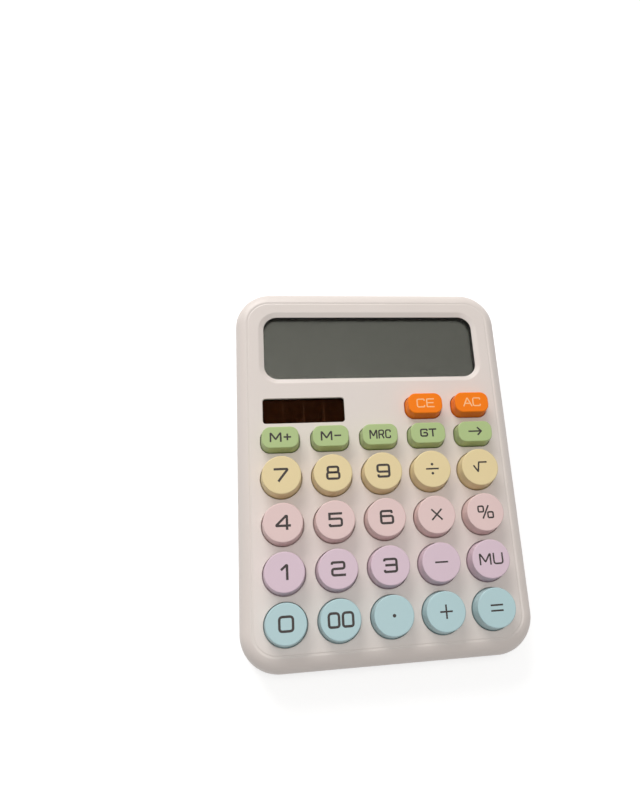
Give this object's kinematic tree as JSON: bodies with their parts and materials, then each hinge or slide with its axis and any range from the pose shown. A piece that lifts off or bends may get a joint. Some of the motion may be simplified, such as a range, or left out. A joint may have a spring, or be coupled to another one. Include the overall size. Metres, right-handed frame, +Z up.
{
  "type": "desk calculator",
  "caption": "Wedge-shaped desk calculator with a wide display, a solar window, round and oval pastel keys that press and spring back, and a sliding battery door.",
  "frame": {"origin": "on the desk, under the middle of the case's outline", "axes": "+X to the right, +Y from the front edge towards the display, +Z up from the desk"},
  "size_m": [0.117, 0.1598, 0.0324],
  "materials": {
    "case_plastic": "fine satin, warm off-white",
    "screw_steel": "zinc plated",
    "foot_rubber": "matt",
    "keypad_rubber": "silicone, matt",
    "board_laminate": "solder mask",
    "contact_carbon": "printed carbon",
    "chip_resin": "epoxy",
    "capacitor_sleeve": "shrink sleeve",
    "clear_lens": "clear acrylic",
    "gasket_foam": "closed-cell foam, matt black",
    "display_glass": "polariser film",
    "backing_plastic": "plain",
    "ribbon_film": "polyimide",
    "solar_glass": "dark amorphous silicon",
    "lead_insulation": "soft insulation",
    "battery_can": "plain metal jacket",
    "contact_steel": "nickel plated",
    "key_blue_plastic": "fine satin, pastel blue",
    "key_violet_plastic": "fine satin, pastel violet",
    "key_pink_plastic": "fine satin, pastel pink",
    "key_yellow_plastic": "fine satin, pastel yellow",
    "key_green_plastic": "fine satin, pastel green",
    "key_orange_plastic": "fine satin, orange",
    "legend_dark_ink": "pad printed ink on the key tops, dark grey",
    "legend_pale_ink": "pad printed ink on the orange keys, pale"
  },
  "bodies": {
    "case": {"top_case": "case_plastic", "bottom_case": "case_plastic", "case_screws": "screw_steel", "foot_front_left": "foot_rubber", "foot_front_right": "foot_rubber", "foot_rear_left": "foot_rubber", "foot_rear_right": "foot_rubber", "keypad_sheet": "keypad_rubber", "circuit_board": "board_laminate", "contact_pads": "contact_carbon", "board_screws": "screw_steel", "chip_cover": "chip_resin", "capacitors": "capacitor_sleeve", "board_chips": "chip_resin", "display_lens": "clear_lens", "display_gasket": "gasket_foam", "display_glass": "display_glass", "display_backing": "backing_plastic", "display_bracket": "backing_plastic", "bracket_screws": "screw_steel", "display_ribbon": "ribbon_film", "solar_cover": "clear_lens", "solar_cell": "solar_glass", "solar_leads": "lead_insulation", "battery": "battery_can", "battery_spring": "contact_steel", "battery_contact": "contact_steel", "battery_leads": "lead_insulation"},
    "battery_door": {"battery_door": "case_plastic"},
    "key_0": {"key_0": "key_blue_plastic"},
    "key_00": {"key_00": "key_blue_plastic"},
    "key_point": {"key_point": "key_blue_plastic"},
    "key_plus": {"key_plus": "key_blue_plastic"},
    "key_equals": {"key_equals": "key_blue_plastic"},
    "key_1": {"key_1": "key_violet_plastic"},
    "key_2": {"key_2": "key_violet_plastic"},
    "key_3": {"key_3": "key_violet_plastic"},
    "key_minus": {"key_minus": "key_violet_plastic"},
    "key_markup": {"key_markup": "key_violet_plastic"},
    "key_4": {"key_4": "key_pink_plastic"},
    "key_5": {"key_5": "key_pink_plastic"},
    "key_6": {"key_6": "key_pink_plastic"},
    "key_multiply": {"key_multiply": "key_pink_plastic"},
    "key_percent": {"key_percent": "key_pink_plastic"},
    "key_7": {"key_7": "key_yellow_plastic"},
    "key_8": {"key_8": "key_yellow_plastic"},
    "key_9": {"key_9": "key_yellow_plastic"},
    "key_divide": {"key_divide": "key_yellow_plastic"},
    "key_root": {"key_root": "key_yellow_plastic"},
    "key_memory_plus": {"key_memory_plus": "key_green_plastic"},
    "key_memory_minus": {"key_memory_minus": "key_green_plastic"},
    "key_memory_recall": {"key_memory_recall": "key_green_plastic"},
    "key_grand_total": {"key_grand_total": "key_green_plastic"},
    "key_backspace": {"key_backspace": "key_green_plastic"},
    "key_clear_entry": {"key_clear_entry": "key_orange_plastic"},
    "key_all_clear": {"key_all_clear": "key_orange_plastic"}
  },
  "joints": [
    {"name": "press_0", "type": "slide", "parent": "case", "child": "key_0", "axis": [0, 0.0872, -0.9962], "range_m": [0, 0.0018], "stiffness_N_per_m": 300, "springref_m": -0.0008, "deforming": ["keypad_sheet"]},
    {"name": "press_00", "type": "slide", "parent": "case", "child": "key_00", "axis": [0, 0.0872, -0.9962], "range_m": [0, 0.0018], "stiffness_N_per_m": 300, "springref_m": -0.0008, "deforming": ["keypad_sheet"]},
    {"name": "press_point", "type": "slide", "parent": "case", "child": "key_point", "axis": [0, 0.0872, -0.9962], "range_m": [0, 0.0018], "stiffness_N_per_m": 300, "springref_m": -0.0008, "deforming": ["keypad_sheet"]},
    {"name": "press_plus", "type": "slide", "parent": "case", "child": "key_plus", "axis": [0, 0.0872, -0.9962], "range_m": [0, 0.0018], "stiffness_N_per_m": 300, "springref_m": -0.0008, "deforming": ["keypad_sheet"]},
    {"name": "press_equals", "type": "slide", "parent": "case", "child": "key_equals", "axis": [0, 0.0872, -0.9962], "range_m": [0, 0.0018], "stiffness_N_per_m": 300, "springref_m": -0.0008, "deforming": ["keypad_sheet"]},
    {"name": "press_1", "type": "slide", "parent": "case", "child": "key_1", "axis": [0, 0.0872, -0.9962], "range_m": [0, 0.0018], "stiffness_N_per_m": 300, "springref_m": -0.0008, "deforming": ["keypad_sheet"]},
    {"name": "press_2", "type": "slide", "parent": "case", "child": "key_2", "axis": [0, 0.0872, -0.9962], "range_m": [0, 0.0018], "stiffness_N_per_m": 300, "springref_m": -0.0008, "deforming": ["keypad_sheet"]},
    {"name": "press_3", "type": "slide", "parent": "case", "child": "key_3", "axis": [0, 0.0872, -0.9962], "range_m": [0, 0.0018], "stiffness_N_per_m": 300, "springref_m": -0.0008, "deforming": ["keypad_sheet"]},
    {"name": "press_minus", "type": "slide", "parent": "case", "child": "key_minus", "axis": [0, 0.0872, -0.9962], "range_m": [0, 0.0018], "stiffness_N_per_m": 300, "springref_m": -0.0008, "deforming": ["keypad_sheet"]},
    {"name": "press_markup", "type": "slide", "parent": "case", "child": "key_markup", "axis": [0, 0.0872, -0.9962], "range_m": [0, 0.0018], "stiffness_N_per_m": 300, "springref_m": -0.0008, "deforming": ["keypad_sheet"]},
    {"name": "press_4", "type": "slide", "parent": "case", "child": "key_4", "axis": [0, 0.0872, -0.9962], "range_m": [0, 0.0018], "stiffness_N_per_m": 300, "springref_m": -0.0008, "deforming": ["keypad_sheet"]},
    {"name": "press_5", "type": "slide", "parent": "case", "child": "key_5", "axis": [0, 0.0872, -0.9962], "range_m": [0, 0.0018], "stiffness_N_per_m": 300, "springref_m": -0.0008, "deforming": ["keypad_sheet"]},
    {"name": "press_6", "type": "slide", "parent": "case", "child": "key_6", "axis": [0, 0.0872, -0.9962], "range_m": [0, 0.0018], "stiffness_N_per_m": 300, "springref_m": -0.0008, "deforming": ["keypad_sheet"]},
    {"name": "press_multiply", "type": "slide", "parent": "case", "child": "key_multiply", "axis": [0, 0.0872, -0.9962], "range_m": [0, 0.0018], "stiffness_N_per_m": 300, "springref_m": -0.0008, "deforming": ["keypad_sheet"]},
    {"name": "press_percent", "type": "slide", "parent": "case", "child": "key_percent", "axis": [0, 0.0872, -0.9962], "range_m": [0, 0.0018], "stiffness_N_per_m": 300, "springref_m": -0.0008, "deforming": ["keypad_sheet"]},
    {"name": "press_7", "type": "slide", "parent": "case", "child": "key_7", "axis": [0, 0.0872, -0.9962], "range_m": [0, 0.0018], "stiffness_N_per_m": 300, "springref_m": -0.0008, "deforming": ["keypad_sheet"]},
    {"name": "press_8", "type": "slide", "parent": "case", "child": "key_8", "axis": [0, 0.0872, -0.9962], "range_m": [0, 0.0018], "stiffness_N_per_m": 300, "springref_m": -0.0008, "deforming": ["keypad_sheet"]},
    {"name": "press_9", "type": "slide", "parent": "case", "child": "key_9", "axis": [0, 0.0872, -0.9962], "range_m": [0, 0.0018], "stiffness_N_per_m": 300, "springref_m": -0.0008, "deforming": ["keypad_sheet"]},
    {"name": "press_divide", "type": "slide", "parent": "case", "child": "key_divide", "axis": [0, 0.0872, -0.9962], "range_m": [0, 0.0018], "stiffness_N_per_m": 300, "springref_m": -0.0008, "deforming": ["keypad_sheet"]},
    {"name": "press_root", "type": "slide", "parent": "case", "child": "key_root", "axis": [0, 0.0872, -0.9962], "range_m": [0, 0.0018], "stiffness_N_per_m": 300, "springref_m": -0.0008, "deforming": ["keypad_sheet"]},
    {"name": "press_memory_plus", "type": "slide", "parent": "case", "child": "key_memory_plus", "axis": [0, 0.0872, -0.9962], "range_m": [0, 0.0018], "stiffness_N_per_m": 300, "springref_m": -0.0008, "deforming": ["keypad_sheet"]},
    {"name": "press_memory_minus", "type": "slide", "parent": "case", "child": "key_memory_minus", "axis": [0, 0.0872, -0.9962], "range_m": [0, 0.0018], "stiffness_N_per_m": 300, "springref_m": -0.0008, "deforming": ["keypad_sheet"]},
    {"name": "press_memory_recall", "type": "slide", "parent": "case", "child": "key_memory_recall", "axis": [0, 0.0872, -0.9962], "range_m": [0, 0.0018], "stiffness_N_per_m": 300, "springref_m": -0.0008, "deforming": ["keypad_sheet"]},
    {"name": "press_grand_total", "type": "slide", "parent": "case", "child": "key_grand_total", "axis": [0, 0.0872, -0.9962], "range_m": [0, 0.0018], "stiffness_N_per_m": 300, "springref_m": -0.0008, "deforming": ["keypad_sheet"]},
    {"name": "press_backspace", "type": "slide", "parent": "case", "child": "key_backspace", "axis": [0, 0.0872, -0.9962], "range_m": [0, 0.0018], "stiffness_N_per_m": 300, "springref_m": -0.0008, "deforming": ["keypad_sheet"]},
    {"name": "press_clear_entry", "type": "slide", "parent": "case", "child": "key_clear_entry", "axis": [0, 0.0872, -0.9962], "range_m": [0, 0.0018], "stiffness_N_per_m": 300, "springref_m": -0.0008, "deforming": ["keypad_sheet"]},
    {"name": "press_all_clear", "type": "slide", "parent": "case", "child": "key_all_clear", "axis": [0, 0.0872, -0.9962], "range_m": [0, 0.0018], "stiffness_N_per_m": 300, "springref_m": -0.0008, "deforming": ["keypad_sheet"]},
    {"name": "slide_battery_door", "type": "slide", "parent": "case", "child": "battery_door", "axis": [0, 1, 0], "range_m": [0, 0.034]}
  ]
}
